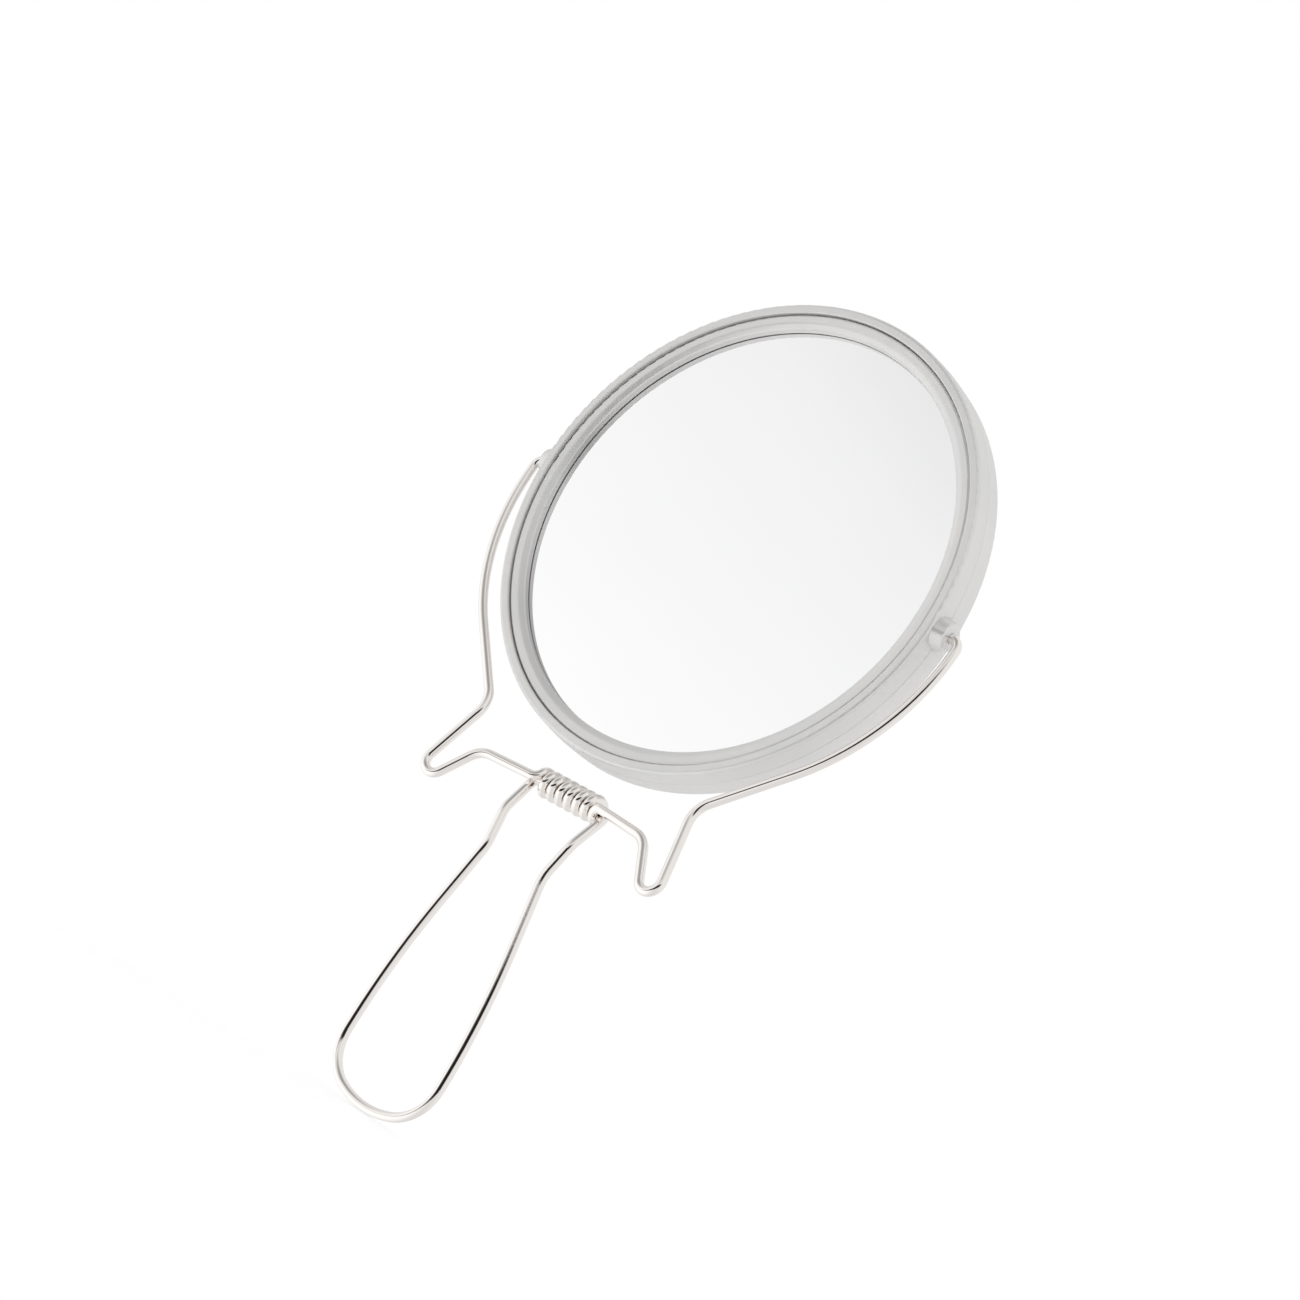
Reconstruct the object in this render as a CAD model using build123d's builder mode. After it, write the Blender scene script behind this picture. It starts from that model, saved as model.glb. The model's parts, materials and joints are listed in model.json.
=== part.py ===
"""Double-sided hand mirror: a round mirror in a bent wire yoke, with a wire handle hinged in the yoke's coil.

Frame, in millimetres: +Z runs from the handle to the mirror, X lies along the tilt axis, and the plain
mirror faces -Y. The origin is under the middle of the object, level with the lowest point of the handle.
"""

from build123d import *
from math import asin, cos, radians, sin, tan
import os

# Wire
wire_diameter = 2.5
wire_radius = wire_diameter / 2
running_gap = 0.06

# Handle loop, in a plane that slopes back below its neck
neck_x = 10.2
loop_slope = 2.4
loop_flare = 10.8
loop_half_width = 17.24
loop_corner_drop = 56.1
loop_corner_radius = 12.5
loop_end_radius = 26

flare = radians(loop_flare)
slope = radians(loop_slope)
widest_drop = (loop_half_width - neck_x) / tan(flare)
flank_tangent = loop_corner_drop - widest_drop
leg_end_down = widest_drop - flank_tangent * cos(flare)
leg_end_x = neck_x + leg_end_down * tan(flare)
corner_middle_x = loop_half_width - loop_corner_radius
corner_lean = asin(corner_middle_x / (loop_end_radius - loop_corner_radius))
loop_end_x = loop_end_radius * sin(corner_lean)
loop_end_down = loop_corner_drop + loop_corner_radius * cos(corner_lean)
loop_bottom_down = loop_end_down + loop_end_radius * (1 - cos(corner_lean))

# Heights, up from the handle's lowest point
neck_drop = 10.6
knee_drop = 10.7
coil_to_pivot = 76.2
pivot_to_centre = 1.1

# Depths: the tilt axis, behind the middle of the whole depth, and the wires' distances in front of it
pivot_y = 0.735
coil_forward = 0.7
knee_forward = 5.5
neck_forward = 5.9
coil_y = pivot_y - coil_forward
knee_y = pivot_y - knee_forward
neck_y = pivot_y - neck_forward

neck_z = wire_radius + loop_bottom_down * cos(slope)
knee_z = neck_z + neck_drop
coil_z = knee_z + knee_drop
pivot_z = coil_z + coil_to_pivot
centre_z = pivot_z + pivot_to_centre

# Rim of the mirror head, radii from the mirror's centre and depths from its middle plane
rim_radius = 67.2
front_draft = 0.4
rear_draft = 0.15
front_depth = 5.25
rear_depth = 6.5
wall_thickness = 1.9
lip_inner_radius = 64.25
rebate_depth = 3.0
ledge_thickness = 1.1
skirt_inner_radius = 62.4
skirt_thickness = 1.0
tongue_height = 0.8
tongue_width = 0.8
parting_bevel = 0.15
lip_outer_round = 0.9
lip_inner_round = 0.3

# Bezels and glasses
bezel_outer_radius = 64.08
bezel_land_radius = 61.6
bezel_land_fall = 0.17
bezel_inner_radius = 60.05
bezel_leg_radius = 62.2
bezel_relief_radius = 61.2
bezel_relief_height = 0.28
glass_radius = 62.0
plain_glass_front = 1.63
plain_glass_thickness = 1.2
front_bezel_outer_edge = 4.6
front_bezel_inner_edge = 3.72
magnifier_edge = 3.5
magnifier_sag = 1.7
magnifier_thickness = 1.1
rear_bezel_outer_edge = 5.85
rear_bezel_inner_edge = 5.0
bezel_outer_round = 0.7
bezel_land_round = 2.0
bezel_inner_round = 0.5
spacer_inner_radius = 53
spacer_outer_radius = 60.5
spacer_gap = 0.05

# Bushes that carry the ends of the yoke
bush_base_radius = 4.4
bush_face_radius = 3.5
bush_face_x = 70
bush_stem_radius = 2.4
bush_stem_end_x = 62.8
bush_stem_tip_x = 69
bush_seat_start_x = 61.4
bush_seat_end_x = 68.2
bush_collar_radius = 3.0
bush_collar_x = 64.45
bush_collar_width = 1.0
bush_root_x = 66.2
bush_edge_round = 0.7
bush_bore_radius = wire_radius + running_gap
pin_end_x = 63.3

# Yoke, in a plane that leans forward below the tilt axis
yoke_rake = 3.73
shoulder_x = 73
shoulder_radius = 2.7
shoulder_sweep = 90
side_arc_radius = 63
side_arc_sweep = 45
outer_bend = (36.35, 65.4)
foot_tip = (47.08, 104.3)
foot_forward = 1.9
inner_bend = (29.26, 77.4)
outer_bend_radius = 7.2
foot_radius = 3.25
inner_bend_radius = 6.7
lean = radians(yoke_rake)

# Coil that grips the handle
coil_pitch = 3.0
coil_turns = 7
coil_radius = 2 * wire_radius + running_gap
coil_lead = 30
coil_bend_reach = 1.9
coil_bend_radius = 2.0

# Handle
stub_end_x = 1.0
stub_corner_x = 12.8
stub_bend_radius = 2.2
knee_x = 12.1
knee_radius = 8
neck_radius = 12

mirror_plane = Plane(origin=(0, pivot_y, centre_z), x_dir=(1, 0, 0), z_dir=(0, -1, 0))
section_plane = Plane(origin=(0, pivot_y, centre_z), x_dir=(0, 0, 1), z_dir=(1, 0, 0))
bush_plane = Plane(origin=(0, pivot_y, pivot_z), x_dir=(1, 0, 0), z_dir=(0, -1, 0))
mirror_axis = Axis((0, pivot_y, centre_z), (0, 1, 0))
tilt_axis = Axis((0, pivot_y, pivot_z), (1, 0, 0))
ledge_under = rebate_depth - ledge_thickness
wall_inner_radius = rim_radius - wall_thickness


def ring_section(points, facing, rounds):
    """Face to revolve about the mirror's axis, from (radius, depth) corners.

    Depth counts away from the middle plane, towards -Y when facing is 1 and towards +Y when it is -1.
    rounds lists (corner, radius) pairs to round off.
    """
    with BuildSketch(section_plane) as section:
        with BuildLine():
            Polyline(*[(radius, facing * depth) for radius, depth in points], close=True)
        make_face()
        for (radius, depth), size in rounds:
            corner = Vector(radius, facing * depth)
            fillet(section.vertices().sort_by_distance(corner)[0], size)
    return section.sketch


def shell_section(facing, depth, draft, joint):
    """Half of the rim: outer wall, lip, bezel rebate and inner skirt, with the joint at the parting plane."""
    skirt_outer_radius = skirt_inner_radius + skirt_thickness
    lip_outer = (rim_radius - draft, depth)
    lip_inner = (lip_inner_radius, depth)
    points = [
        (rim_radius - parting_bevel, 0),
        (rim_radius, parting_bevel),
        lip_outer,
        lip_inner,
        (lip_inner_radius, rebate_depth),
        (skirt_inner_radius, rebate_depth),
        (skirt_inner_radius, 0),
        (skirt_outer_radius, 0),
        (skirt_outer_radius, ledge_under),
        (wall_inner_radius, ledge_under),
    ]
    rounds = [(lip_outer, lip_outer_round), (lip_inner, lip_inner_round)]
    return ring_section(points + joint, facing, rounds)


def bezel_section(facing, outer_edge, inner_edge, foot):
    """Retaining ring: flat land, slope to the opening, and a leg to the glass, relieved at the opening."""
    relief = foot + bezel_relief_height
    outer = (bezel_outer_radius, outer_edge)
    land = (bezel_land_radius, outer_edge - bezel_land_fall)
    inner = (bezel_inner_radius, inner_edge)
    points = [
        outer,
        land,
        inner,
        (bezel_inner_radius, relief),
        (bezel_relief_radius, relief),
        (bezel_relief_radius, foot),
        (bezel_leg_radius, foot),
        (bezel_leg_radius, rebate_depth),
        (bezel_outer_radius, rebate_depth),
    ]
    rounds = [(outer, bezel_outer_round), (land, bezel_land_round), (inner, bezel_inner_round)]
    return ring_section(points, facing, rounds)


def bush_section(points):
    """Half section of the bush at +X, from (distance from the middle, radius) corners."""
    with BuildSketch(bush_plane) as section:
        with BuildLine():
            Polyline(*points, close=True)
        make_face()
    return section.sketch


def stem_section(start_x, end_x):
    """Half section of a bush's collared stem between two distances from the middle."""
    collar_end_x = bush_collar_x + bush_collar_width
    points = [
        (start_x, 0),
        (start_x, bush_stem_radius),
        (bush_collar_x, bush_stem_radius),
        (bush_collar_x, bush_collar_radius),
        (collar_end_x, bush_collar_radius),
        (collar_end_x, bush_stem_radius),
        (end_x, bush_stem_radius),
        (end_x, 0),
    ]
    return bush_section(points)


def on_yoke(x, down, forward=0):
    """Point measured on the yoke's leaning plane, down from the tilt axis and forward of the plane."""
    y = pivot_y - down * sin(lean) - forward * cos(lean)
    z = pivot_z - down * cos(lean) + forward * sin(lean)
    return (x, y, z)


def on_yoke_arc(side, middle, radius, angle):
    """Point on an arc in the yoke's plane about middle, given as (x, down), angle degrees below level."""
    turn = radians(angle)
    return on_yoke(side * (middle[0] + radius * cos(turn)), middle[1] + radius * sin(turn))


def on_loop(x, down):
    """Point measured on the handle loop's plane, down from its neck."""
    return (x, neck_y + down * sin(slope), neck_z - down * cos(slope))


# Seats for the two bushes, shared by both halves of the rim
with BuildPart() as bush_seats:
    revolve(stem_section(bush_seat_start_x, bush_seat_end_x), axis=tilt_axis)
    mirror(about=Plane.YZ)

# Front half of the rim, rebated inside its wall for the rear half's tongue
with BuildPart() as front_shell:
    groove_depth = tongue_height + running_gap
    groove_radius = wall_inner_radius + tongue_width + running_gap
    joint = [(wall_inner_radius, groove_depth), (groove_radius, groove_depth), (groove_radius, 0)]
    revolve(shell_section(1, front_depth, front_draft, joint), axis=mirror_axis)
    add(bush_seats.part, mode=Mode.SUBTRACT)
front_shell.part.label = "front_shell"

# Rear half of the rim, with the locating tongue
with BuildPart() as rear_shell:
    tongue_radius = wall_inner_radius + tongue_width
    joint = [(wall_inner_radius, -tongue_height), (tongue_radius, -tongue_height), (tongue_radius, 0)]
    revolve(shell_section(-1, rear_depth, rear_draft, joint), axis=mirror_axis)
    add(bush_seats.part, mode=Mode.SUBTRACT)
rear_shell.part.label = "rear_shell"

# Retaining rings that snap into the rim and hold the two glasses
with BuildPart() as front_bezel:
    ring = bezel_section(1, front_bezel_outer_edge, front_bezel_inner_edge, plain_glass_front)
    revolve(ring, axis=mirror_axis)
front_bezel.part.label = "front_bezel"

with BuildPart() as rear_bezel:
    ring = bezel_section(-1, rear_bezel_outer_edge, rear_bezel_inner_edge, magnifier_edge)
    revolve(ring, axis=mirror_axis)
rear_bezel.part.label = "rear_bezel"

# Flat mirror glass in front
with BuildPart() as plain_mirror:
    with BuildSketch(mirror_plane.offset(plain_glass_front)):
        Circle(glass_radius)
    extrude(amount=-plain_glass_thickness)
plain_mirror.part.label = "plain_mirror"

# Dished magnifying glass behind: a disc bounded by the fronts of two balls, one for each face
with BuildPart() as magnifying_mirror:
    dish_radius = (glass_radius**2 + magnifier_sag**2) / (2 * magnifier_sag)
    dish_middle = magnifier_sag - magnifier_edge
    with BuildSketch(mirror_plane.offset(-magnifier_edge - magnifier_thickness)):
        Circle(glass_radius)
    extrude(amount=magnifier_sag + 3 * magnifier_thickness)
    with Locations((0, pivot_y + dish_radius - dish_middle - magnifier_thickness, centre_z)):
        Sphere(dish_radius, mode=Mode.INTERSECT)
    with Locations((0, pivot_y + dish_radius - dish_middle, centre_z)):
        Sphere(dish_radius, mode=Mode.SUBTRACT)
magnifying_mirror.part.label = "magnifying_mirror"

# Foam ring between the glasses
with BuildPart() as spacer_ring:
    plain_back = plain_glass_front - plain_glass_thickness
    corners = []
    for radius in (spacer_inner_radius, spacer_outer_radius):
        rise = magnifier_sag * (1 - (radius / glass_radius) ** 2)
        corners.append((radius, rise - magnifier_edge + magnifier_thickness + spacer_gap))
    points = [
        (spacer_inner_radius, plain_back),
        *corners,
        (spacer_outer_radius, plain_back),
    ]
    revolve(ring_section(points, 1, []), axis=mirror_axis)
spacer_ring.part.label = "spacer_ring"

# Solid outline of the rim, used to fit the bushes to its wall
with BuildPart() as rim_outline:
    points = [
        (0, front_depth),
        (rim_radius - front_draft, front_depth),
        (rim_radius, parting_bevel),
        (rim_radius, -parting_bevel),
        (rim_radius - rear_draft, -rear_depth),
        (0, -rear_depth),
    ]
    revolve(ring_section(points, 1, []), axis=mirror_axis)

# Bushes: a cone on the wall, and a collared stem clamped between the halves of the rim
with BuildPart() as right_pivot_bush:
    taper = (bush_base_radius - bush_face_radius) / (bush_face_x - rim_radius)
    root_radius = bush_face_radius + taper * (bush_face_x - bush_root_x)
    cone = [(bush_root_x, 0), (bush_root_x, root_radius), (bush_face_x, bush_face_radius), (bush_face_x, 0)]
    revolve(bush_section(cone), axis=tilt_axis)
    fillet(right_pivot_bush.edges().group_by(Axis.X)[-1], bush_edge_round)
    add(rim_outline.part, mode=Mode.SUBTRACT)
    revolve(stem_section(bush_stem_end_x, bush_stem_tip_x), axis=tilt_axis)
    bore = [
        (bush_stem_end_x, 0),
        (bush_stem_end_x, bush_bore_radius),
        (bush_face_x, bush_bore_radius),
        (bush_face_x, 0),
    ]
    revolve(bush_section(bore), axis=tilt_axis, mode=Mode.SUBTRACT)
right_pivot_bush.part.label = "right_pivot_bush"

with BuildPart() as left_pivot_bush:
    mirror(right_pivot_bush.part, about=Plane.YZ)
left_pivot_bush.part.label = "left_pivot_bush"

# Coil's centre line, wound from the left bar over the top and ending under the right bar
lead = radians(coil_lead)
coil_length = coil_pitch * (coil_turns - 2 * coil_lead / 360)
coil_base = Plane(
    origin=(-coil_length / 2, coil_y, coil_z),
    x_dir=(0, -cos(lead), sin(lead)),
    z_dir=(1, 0, 0),
)
coil = coil_base * Helix(pitch=coil_pitch, height=coil_length, radius=coil_radius, lefthand=True)

# Yoke: one wire from tip to tip
with BuildPart() as yoke_wire:
    with BuildLine() as yoke_path:
        add(coil)
        for side, end in ((-1, 0), (1, 1)):
            coil_end = coil @ end
            bar_corner = coil_end + (coil % end) * side * coil_bend_reach
            arc_middle = (shoulder_x - side_arc_radius, shoulder_radius)
            shoulder_middle = (shoulder_x - shoulder_radius, shoulder_radius)
            side_arc = [
                on_yoke_arc(side, arc_middle, side_arc_radius, angle)
                for angle in (side_arc_sweep, side_arc_sweep / 2, 0)
            ]
            shoulder = [
                on_yoke_arc(side, shoulder_middle, shoulder_radius, angle)
                for angle in (0, -shoulder_sweep / 2, -shoulder_sweep)
            ]
            FilletPolyline(
                coil_end,
                bar_corner,
                on_yoke(side * inner_bend[0], inner_bend[1]),
                on_yoke(side * foot_tip[0], foot_tip[1], foot_forward),
                on_yoke(side * outer_bend[0], outer_bend[1]),
                side_arc[0],
                radius=[coil_bend_radius, inner_bend_radius, foot_radius, outer_bend_radius],
            )
            ThreePointArc(*side_arc)
            ThreePointArc(*shoulder)
            Line(shoulder[-1], on_yoke(side * pin_end_x, 0))
    with BuildSketch(Plane(origin=on_yoke(pin_end_x, 0), z_dir=(1, 0, 0))):
        Circle(wire_radius)
    sweep(path=yoke_path.wire())
yoke_wire.part.label = "yoke_wire"

# Handle: one wire, from the end of one stub in the coil round the loop to the other
with BuildPart() as handle_wire:
    with BuildLine() as handle_path:
        for side in (1, -1):
            leg = FilletPolyline(
                (side * stub_end_x, coil_y, coil_z),
                (side * stub_corner_x, coil_y, coil_z),
                (side * knee_x, knee_y, knee_z),
                on_loop(side * neck_x, 0),
                on_loop(side * leg_end_x, leg_end_down),
                radius=[stub_bend_radius, knee_radius, neck_radius],
            )
            flank = TangentArc(leg @ 1, on_loop(side * loop_half_width, loop_corner_drop), tangent=leg % 1)
            TangentArc(flank @ 1, on_loop(side * loop_end_x, loop_end_down), tangent=flank % 1)
        ThreePointArc(
            on_loop(-loop_end_x, loop_end_down),
            on_loop(0, loop_bottom_down),
            on_loop(loop_end_x, loop_end_down),
        )
    with BuildSketch(Plane(origin=(stub_end_x, coil_y, coil_z), z_dir=(1, 0, 0))):
        Circle(wire_radius)
    sweep(path=handle_path.wire())
handle_wire.part.label = "handle_wire"

os.makedirs("parts", exist_ok=True)
export_step(front_shell.part, "parts/front_shell.step")
export_step(rear_shell.part, "parts/rear_shell.step")
export_step(front_bezel.part, "parts/front_bezel.step")
export_step(rear_bezel.part, "parts/rear_bezel.step")
export_step(plain_mirror.part, "parts/plain_mirror.step")
export_step(magnifying_mirror.part, "parts/magnifying_mirror.step")
export_step(spacer_ring.part, "parts/spacer_ring.step")
export_step(right_pivot_bush.part, "parts/right_pivot_bush.step")
export_step(left_pivot_bush.part, "parts/left_pivot_bush.step")
export_step(yoke_wire.part, "parts/yoke_wire.step")
export_step(handle_wire.part, "parts/handle_wire.step")
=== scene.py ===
"""Looks for the double-sided hand mirror: materials on the CAD nodes, a white studio and the camera.

Metres, in the frame of the CAD model: +Z from the handle to the mirror, the plain mirror facing -Y.
"""

import bpy
import json
from math import cos, radians, sin
from mathutils import Matrix, Vector


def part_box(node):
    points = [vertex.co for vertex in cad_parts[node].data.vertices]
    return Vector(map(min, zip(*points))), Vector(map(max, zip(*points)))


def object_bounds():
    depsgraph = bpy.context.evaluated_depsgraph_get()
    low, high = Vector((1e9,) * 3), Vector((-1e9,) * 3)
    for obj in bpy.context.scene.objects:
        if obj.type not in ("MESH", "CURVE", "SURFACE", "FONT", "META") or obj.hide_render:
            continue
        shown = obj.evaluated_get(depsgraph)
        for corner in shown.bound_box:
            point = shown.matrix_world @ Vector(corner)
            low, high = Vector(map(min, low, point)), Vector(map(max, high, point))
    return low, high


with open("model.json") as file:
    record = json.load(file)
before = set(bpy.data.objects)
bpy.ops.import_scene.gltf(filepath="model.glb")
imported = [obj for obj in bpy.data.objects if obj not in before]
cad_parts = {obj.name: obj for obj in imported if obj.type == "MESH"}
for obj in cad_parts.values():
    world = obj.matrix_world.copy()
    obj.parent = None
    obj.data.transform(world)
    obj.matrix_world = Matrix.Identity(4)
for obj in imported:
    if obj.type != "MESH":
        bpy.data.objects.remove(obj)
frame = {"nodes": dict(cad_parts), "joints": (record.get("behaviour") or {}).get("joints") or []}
cad_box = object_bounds()

# Camera, measured from the middle of the mirror head
CAMERA_AZIMUTH = 38.76
CAMERA_ELEVATION = -11.75
CAMERA_DISTANCE = 0.7322
CAMERA_PITCH = 8.99
CAMERA_HEADING = 39.08
CAMERA_ROLL = 33.0
CAMERA_LENS = 80.46
CAMERA_CLIP = (0.01, 50.0)
SENSOR_WIDTH = 36.0

# Colours, linear
PLASTIC = (0.76, 0.755, 0.75)
PLASTIC_WARM = (0.785, 0.775, 0.766)
SILVER = (0.965, 0.965, 0.967)
SILVER_DRIFT = 1.012
NICKEL = (0.92, 0.885, 0.855)
NICKEL_DARK = (0.84, 0.80, 0.765)
FOAM = (0.30, 0.30, 0.31)
# Painted shade: how much darker the foam's pores are coloured, standing in for the shade in their hollows
FOAM_PORE_PAINTED_SHADE = 0.7
WHITE = (1.0, 1.0, 1.0, 1.0)

# Roughness of the moulded plastics, and how far it varies below and above that
RIM_ROUGHNESS = 0.36
BEZEL_ROUGHNESS = 0.34
BUSH_ROUGHNESS = 0.30
ROUGHNESS_BELOW = 0.04
ROUGHNESS_ABOVE = 0.05

# Floor
FLOOR = (0.85, 0.85, 0.85)
FLOOR_GLOW = 0.348
FLOOR_RADIUS = 6.0
FLOOR_CORNERS = 128

# Studio room: brightness against how far a direction turns to the picture's left, and towards the ceiling.
# Each list holds (turn, brightness) pairs, its two ends first.
ROOM_LEFTWARD = [(-1.0, 0.88), (1.0, 1.20), (-0.6, 0.89), (-0.2, 0.80), (0.35, 0.80), (0.7, 1.01)]
CEILING_AXIS = (0.1, 0.95, 0.25)
CEILING = [(-1.0, 1.0), (1.0, 0.45), (0.6, 1.0), (0.73, 0.99), (0.83, 0.93), (0.95, 0.55)]

# Dark gap in the room: an ellipse in (leftward, upward), its soft edge, and how far it turns to the camera
GAP_MIDDLE = (0.27, 0.28)
GAP_REACH = (0.60, 0.21)
GAP_TILT = 0.25
GAP_EDGE = (0.7, 1.35)
GAP_FACING = (0.1, 0.35)
GAP_BRIGHTNESS = 0.02

# Sockets of Blender's Mix node that carry colours, whose names other sockets share
MIX_FACTOR = 0
MIX_FIRST = 6
MIX_SECOND = 7
MIX_RESULT = 2


# ---------------------------------------------------------------- material nodes

def new_material(name):
    """A material with an empty node tree but for its Principled shader and output."""
    material = bpy.data.materials.new(name)
    material.use_nodes = True
    nodes = material.node_tree.nodes
    nodes.clear()
    shader = nodes.new("ShaderNodeBsdfPrincipled")
    output = nodes.new("ShaderNodeOutputMaterial")
    connect(material, shader.outputs["BSDF"], output.inputs["Surface"])
    return material, shader


def add_node(material, kind, **values):
    """A new node, with its properties and input values set."""
    node = material.node_tree.nodes.new(kind)
    for key, value in values.items():
        if hasattr(node, key):
            setattr(node, key, value)
        else:
            node.inputs[key].default_value = value
    return node


def set_inputs(node, **values):
    """Sets a node's inputs, whose names are given with underscores for spaces."""
    for key, value in values.items():
        node.inputs[key.replace("_", " ")].default_value = value


def connect(material, source, target):
    """Links two sockets of a material."""
    material.node_tree.links.new(source, target)


def noise(material, coordinates, scale, detail):
    """Noise with the given features per metre."""
    texture = add_node(material, "ShaderNodeTexNoise", Scale=scale, Detail=detail, Roughness=0.5)
    connect(material, coordinates.outputs["Object"], texture.inputs["Vector"])
    return texture.outputs["Fac"]


def cells(material, coordinates, scale):
    """Distance to the nearest of points scattered with the given number per metre."""
    texture = add_node(material, "ShaderNodeTexVoronoi", Scale=scale)
    connect(material, coordinates.outputs["Object"], texture.inputs["Vector"])
    return texture.outputs["Distance"]


def ramp(material, factor, low, high, start, end):
    """Maps factor from start..end to low..high."""
    node = add_node(material, "ShaderNodeMapRange")
    set_inputs(node, From_Min=start, From_Max=end, To_Min=low, To_Max=high)
    connect(material, factor, node.inputs["Value"])
    return node.outputs["Result"]


def mix_colour(material, factor, first, second):
    """Colour between first, where factor is 0, and second, where it is 1."""
    node = add_node(material, "ShaderNodeMix", data_type="RGBA")
    node.inputs[MIX_FIRST].default_value = (*first, 1.0)
    node.inputs[MIX_SECOND].default_value = (*second, 1.0)
    connect(material, factor, node.inputs[MIX_FACTOR])
    return node.outputs[MIX_RESULT]


def bump(material, shader, height, distance, strength, below=None):
    """Bumps the shader's normal, on top of another bump if given."""
    node = add_node(material, "ShaderNodeBump", Strength=strength, Distance=distance)
    connect(material, height, node.inputs["Height"])
    if below is not None:
        connect(material, below.outputs["Normal"], node.inputs["Normal"])
    connect(material, node.outputs["Normal"], shader.inputs["Normal"])
    return node


# ---------------------------------------------------------------- materials

def moulded_plastic(name, base, second, roughness):
    """Satin injection-moulded plastic: faint flow mottling, fine tool texture and slight gloss variation."""
    material, shader = new_material(name)
    coordinates = add_node(material, "ShaderNodeTexCoord")
    flow = noise(material, coordinates, scale=35.0, detail=2.0)
    tint = ramp(material, flow, low=0.0, high=1.0, start=0.35, end=0.65)
    connect(material, mix_colour(material, tint, base, second), shader.inputs["Base Color"])
    cloud = noise(material, coordinates, scale=260.0, detail=4.0)
    smoothest = roughness - ROUGHNESS_BELOW
    roughest = roughness + ROUGHNESS_ABOVE
    satin = ramp(material, cloud, low=smoothest, high=roughest, start=0.3, end=0.7)
    connect(material, satin, shader.inputs["Roughness"])
    grain = noise(material, coordinates, scale=9000.0, detail=2.0)
    fine = bump(material, shader, grain, distance=0.00002, strength=0.18)
    wave = noise(material, coordinates, scale=90.0, detail=1.0)
    bump(material, shader, wave, distance=0.00006, strength=0.25, below=fine)
    set_inputs(shader, IOR=1.5, Metallic=0.5, Coat_Weight=0.1, Coat_Roughness=0.12)
    return material


def silvered_glass(name):
    """Mirror: silver under clear glass, with the faintest drift of tone and a few specks of dust."""
    material, shader = new_material(name)
    coordinates = add_node(material, "ShaderNodeTexCoord")
    haze = noise(material, coordinates, scale=18.0, detail=2.0)
    tint = ramp(material, haze, low=0.0, high=1.0, start=0.3, end=0.7)
    lighter = tuple(channel * SILVER_DRIFT for channel in SILVER)
    connect(material, mix_colour(material, tint, SILVER, lighter), shader.inputs["Base Color"])
    specks = cells(material, coordinates, scale=420.0)
    dust = ramp(material, specks, low=0.10, high=0.012, start=0.012, end=0.035)
    connect(material, dust, shader.inputs["Roughness"])
    set_inputs(shader, Metallic=1.0, Coat_Weight=0.4, Coat_Roughness=0.0)
    return material


def plated_wire(name):
    """Bright nickel plate over drawn wire: slight tone drift, rubbed gloss and orange peel."""
    material, shader = new_material(name)
    coordinates = add_node(material, "ShaderNodeTexCoord")
    drift = noise(material, coordinates, scale=70.0, detail=3.0)
    tint = ramp(material, drift, low=0.0, high=0.35, start=0.35, end=0.75)
    connect(material, mix_colour(material, tint, NICKEL, NICKEL_DARK), shader.inputs["Base Color"])
    rub = noise(material, coordinates, scale=500.0, detail=4.0)
    polish = ramp(material, rub, low=0.025, high=0.07, start=0.3, end=0.7)
    connect(material, polish, shader.inputs["Roughness"])
    peel = noise(material, coordinates, scale=1400.0, detail=2.0)
    bump(material, shader, peel, distance=0.00002, strength=0.30)
    set_inputs(shader, Metallic=1.0)
    return material


def foam(name):
    """Closed-cell foam: small round pores in a matt grey sheet, with painted shade darkening each pore
    towards its middle.
    """
    material, shader = new_material(name)
    coordinates = add_node(material, "ShaderNodeTexCoord")
    pores = cells(material, coordinates, scale=1800.0)
    # Painted shade: the colour darkens towards each pore's middle, as if shade fell in the hollow
    pore_painted_shade_mask = ramp(material, pores, low=0.0, high=1.0, start=0.0, end=0.5)
    pore_painted_shade_colour = tuple(channel * FOAM_PORE_PAINTED_SHADE for channel in FOAM)
    connect(material, mix_colour(material, pore_painted_shade_mask, pore_painted_shade_colour, FOAM), shader.inputs["Base Color"])
    bump(material, shader, pores, distance=0.0002, strength=0.6)
    set_inputs(shader, Roughness=0.9)
    return material


def floor_surface(name):
    """Plain white studio floor."""
    material, shader = new_material(name)
    set_inputs(shader, Base_Color=(*FLOOR, 1.0), Roughness=0.8, Specular_IOR_Level=0.1)
    set_inputs(shader, Emission_Color=WHITE, Emission_Strength=FLOOR_GLOW)
    return material


def paint(material, *nodes):
    """Gives CAD nodes one material."""
    for node in nodes:
        for slot in frame["nodes"][node].material_slots:
            slot.material = material


def add_materials():
    """Makes each material and paints the nodes that have it."""
    rim = moulded_plastic("rim_plastic", PLASTIC, PLASTIC_WARM, RIM_ROUGHNESS)
    bezel = moulded_plastic("bezel_plastic", PLASTIC, PLASTIC_WARM, BEZEL_ROUGHNESS)
    bush = moulded_plastic("bush_plastic", PLASTIC_WARM, PLASTIC, BUSH_ROUGHNESS)
    paint(rim, "front_shell", "rear_shell")
    paint(bezel, "front_bezel", "rear_bezel")
    paint(bush, "left_pivot_bush", "right_pivot_bush")
    paint(silvered_glass("silvered_glass"), "plain_mirror", "magnifying_mirror")
    paint(plated_wire("nickel_plated_wire"), "yoke_wire", "handle_wire")
    paint(foam("spacer_foam"), "spacer_ring")


# ---------------------------------------------------------------- world nodes

def dot_with(tree, direction, axis):
    """How far a direction turns towards axis, from -1 to 1."""
    dot = tree.nodes.new("ShaderNodeVectorMath")
    dot.operation = "DOT_PRODUCT"
    dot.inputs[1].default_value = axis
    tree.links.new(direction, dot.inputs[0])
    return dot.outputs["Value"]


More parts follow.
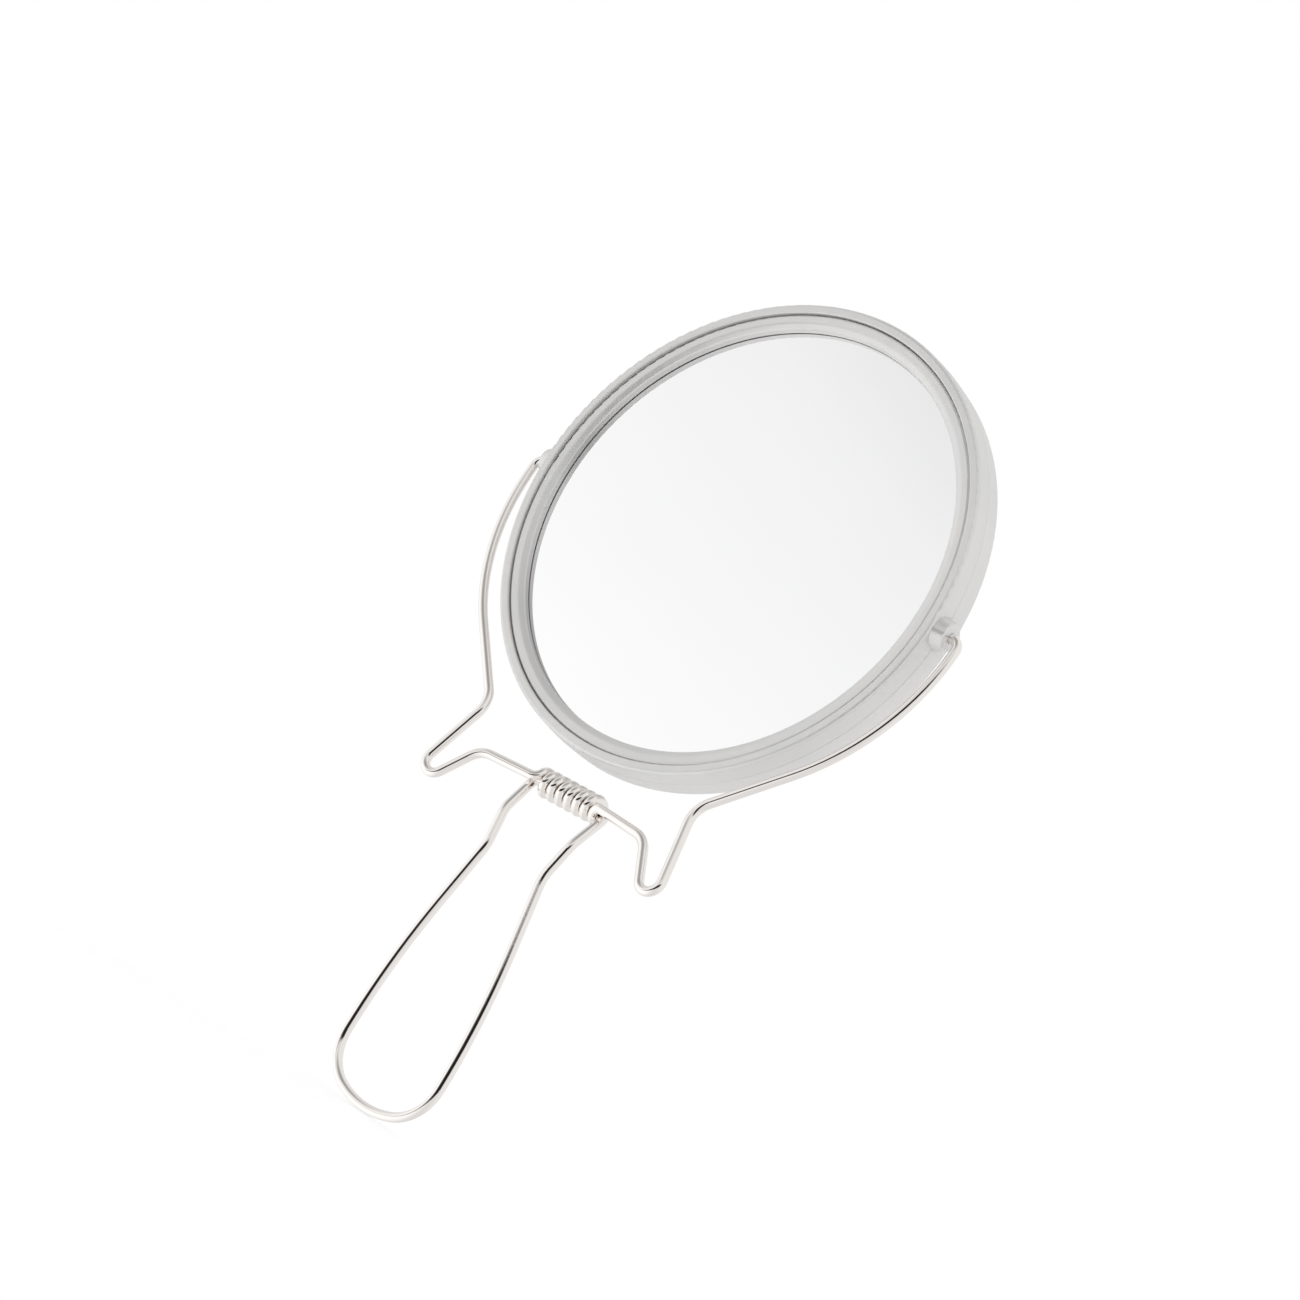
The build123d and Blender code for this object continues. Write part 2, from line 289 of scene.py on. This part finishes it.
def graded(tree, turn, stops):
    """Brightness read from stops, pairs of a turn from -1 to 1 and a brightness; the two ends come first."""
    lift = tree.nodes.new("ShaderNodeMapRange")
    lift.inputs["From Min"].default_value = -1.0
    tree.links.new(turn, lift.inputs["Value"])
    scale = tree.nodes.new("ShaderNodeValToRGB")
    elements = scale.color_ramp.elements
    for index, (turn_at, value) in enumerate(stops):
        place = (turn_at + 1) / 2
        stop = elements[index] if index < 2 else elements.new(place)
        stop.position = place
        stop.color = (value, value, value, 1)
    tree.links.new(lift.outputs["Result"], scale.inputs["Fac"])
    return scale.outputs["Color"]


def compute(tree, operation, first, second=0.0):
    """Math node on two inputs, each a socket or a number."""
    node = tree.nodes.new("ShaderNodeMath")
    node.operation = operation
    for socket, value in zip(node.inputs, (first, second)):
        if isinstance(value, (int, float)):
            socket.default_value = value
        else:
            tree.links.new(value, socket)
    return node.outputs[0]


def smooth_step(tree, value, span, low, high):
    """Eases from low at the start of span to high at its end."""
    step = tree.nodes.new("ShaderNodeMapRange")
    step.interpolation_type = "SMOOTHSTEP"
    set_inputs(step, From_Min=span[0], From_Max=span[1], To_Min=low, To_Max=high)
    tree.links.new(value, step.inputs["Value"])
    return step.outputs["Result"]


# ---------------------------------------------------------------- studio

def add_floor():
    """Floor disc under the lowest point of the object, left out of reflections."""
    bpy.ops.mesh.primitive_circle_add(
        vertices=FLOOR_CORNERS,
        radius=FLOOR_RADIUS,
        fill_type="NGON",
        location=(0, 0, cad_box[0][2]),
    )
    floor = bpy.context.object
    floor.name = "floor"
    floor.data.materials.append(floor_surface("floor_white"))
    floor.visible_glossy = False


def gap_light(tree, leftward, upward, frontal):
    """Share of the room's light that the dark gap leaves: low inside the ellipse, 1 outside it."""
    across = compute(tree, "DIVIDE", compute(tree, "SUBTRACT", leftward, GAP_MIDDLE[0]), GAP_REACH[0])
    rise = compute(tree, "MULTIPLY", across, GAP_TILT * GAP_REACH[0])
    level = compute(tree, "SUBTRACT", upward, rise)
    along = compute(tree, "DIVIDE", compute(tree, "SUBTRACT", level, GAP_MIDDLE[1]), GAP_REACH[1])
    across_squared = compute(tree, "POWER", across, 2.0)
    along_squared = compute(tree, "POWER", along, 2.0)
    away = compute(tree, "SQRT", compute(tree, "ADD", across_squared, along_squared))
    inside = smooth_step(tree, away, GAP_EDGE, low=1.0, high=0.0)
    facing = smooth_step(tree, frontal, GAP_FACING, low=0.0, high=1.0)
    hidden = compute(tree, "MULTIPLY", inside, facing)
    return compute(tree, "SUBTRACT", 1.0, compute(tree, "MULTIPLY", hidden, 1.0 - GAP_BRIGHTNESS))


def room_light(tree, left, above, toward):
    """Brightness of the room in each direction; left, above and toward are the picture's directions."""
    direction = tree.nodes.new("ShaderNodeTexCoord").outputs["Generated"]
    leftward = dot_with(tree, direction, left)
    upward = dot_with(tree, direction, above)
    frontal = dot_with(tree, direction, toward)
    ceiling_axis = left * CEILING_AXIS[0] + above * CEILING_AXIS[1] + toward * CEILING_AXIS[2]
    ceiling = graded(tree, dot_with(tree, direction, ceiling_axis.normalized()), CEILING)
    walls = compute(tree, "MULTIPLY", graded(tree, leftward, ROOM_LEFTWARD), ceiling)
    return compute(tree, "MULTIPLY", walls, gap_light(tree, leftward, upward, frontal))


def add_world(left, above, toward):
    """White backdrop for the camera; for light and reflections, a white room with a dark gap."""
    world = bpy.data.worlds.new("studio")
    bpy.context.scene.world = world
    world.use_nodes = True
    tree = world.node_tree
    nodes, links = tree.nodes, tree.links
    nodes.clear()
    backdrop = nodes.new("ShaderNodeBackground")
    backdrop.inputs["Color"].default_value = WHITE
    room = nodes.new("ShaderNodeBackground")
    room.inputs["Color"].default_value = WHITE
    links.new(room_light(tree, left, above, toward), room.inputs["Strength"])
    path = nodes.new("ShaderNodeLightPath")
    mix = nodes.new("ShaderNodeMixShader")
    links.new(path.outputs["Is Camera Ray"], mix.inputs["Fac"])
    links.new(room.outputs["Background"], mix.inputs[1])
    links.new(backdrop.outputs["Background"], mix.inputs[2])
    output = nodes.new("ShaderNodeOutputWorld")
    links.new(mix.outputs["Shader"], output.inputs["Surface"])


def mirror_middle():
    """Middle of the mirror head, at the depth of the tilt axis."""
    low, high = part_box("plain_mirror")
    tilt = next(joint for joint in frame["joints"] if joint["name"] == "mirror_tilt")
    return Vector(((low.x + high.x) / 2, tilt["pos_m"][1], (low.z + high.z) / 2))


def add_camera():
    """Camera below the mirror and to its right, rolled so that the handle points to the lower left.

    Returns the picture's right, up and forward directions.
    """
    azimuth, elevation = radians(CAMERA_AZIMUTH), radians(CAMERA_ELEVATION)
    outward = Vector((sin(azimuth) * cos(elevation), -cos(azimuth) * cos(elevation), sin(elevation)))
    heading, pitch = radians(CAMERA_HEADING), radians(CAMERA_PITCH)
    forward = Vector((-sin(heading) * cos(pitch), cos(heading) * cos(pitch), sin(pitch)))
    level_right = forward.cross(Vector((0, 0, 1))).normalized()
    level_up = level_right.cross(forward)
    roll = radians(CAMERA_ROLL)
    right = cos(roll) * level_right + sin(roll) * level_up
    up = right.cross(forward)
    data = bpy.data.cameras.new("camera")
    data.lens = CAMERA_LENS
    data.sensor_width = SENSOR_WIDTH
    data.clip_start, data.clip_end = CAMERA_CLIP
    camera = bpy.data.objects.new("camera", data)
    rotation = Matrix((right, up, -forward)).transposed().to_4x4()
    camera.matrix_world = Matrix.Translation(mirror_middle() + outward * CAMERA_DISTANCE) @ rotation
    bpy.context.collection.objects.link(camera)
    bpy.context.scene.camera = camera
    return right, up, forward


add_materials()
picture_right, picture_up, picture_forward = add_camera()
add_floor()
add_world(left=-picture_right, above=picture_up, toward=-picture_forward)
bpy.context.scene.view_settings.view_transform = "Standard"
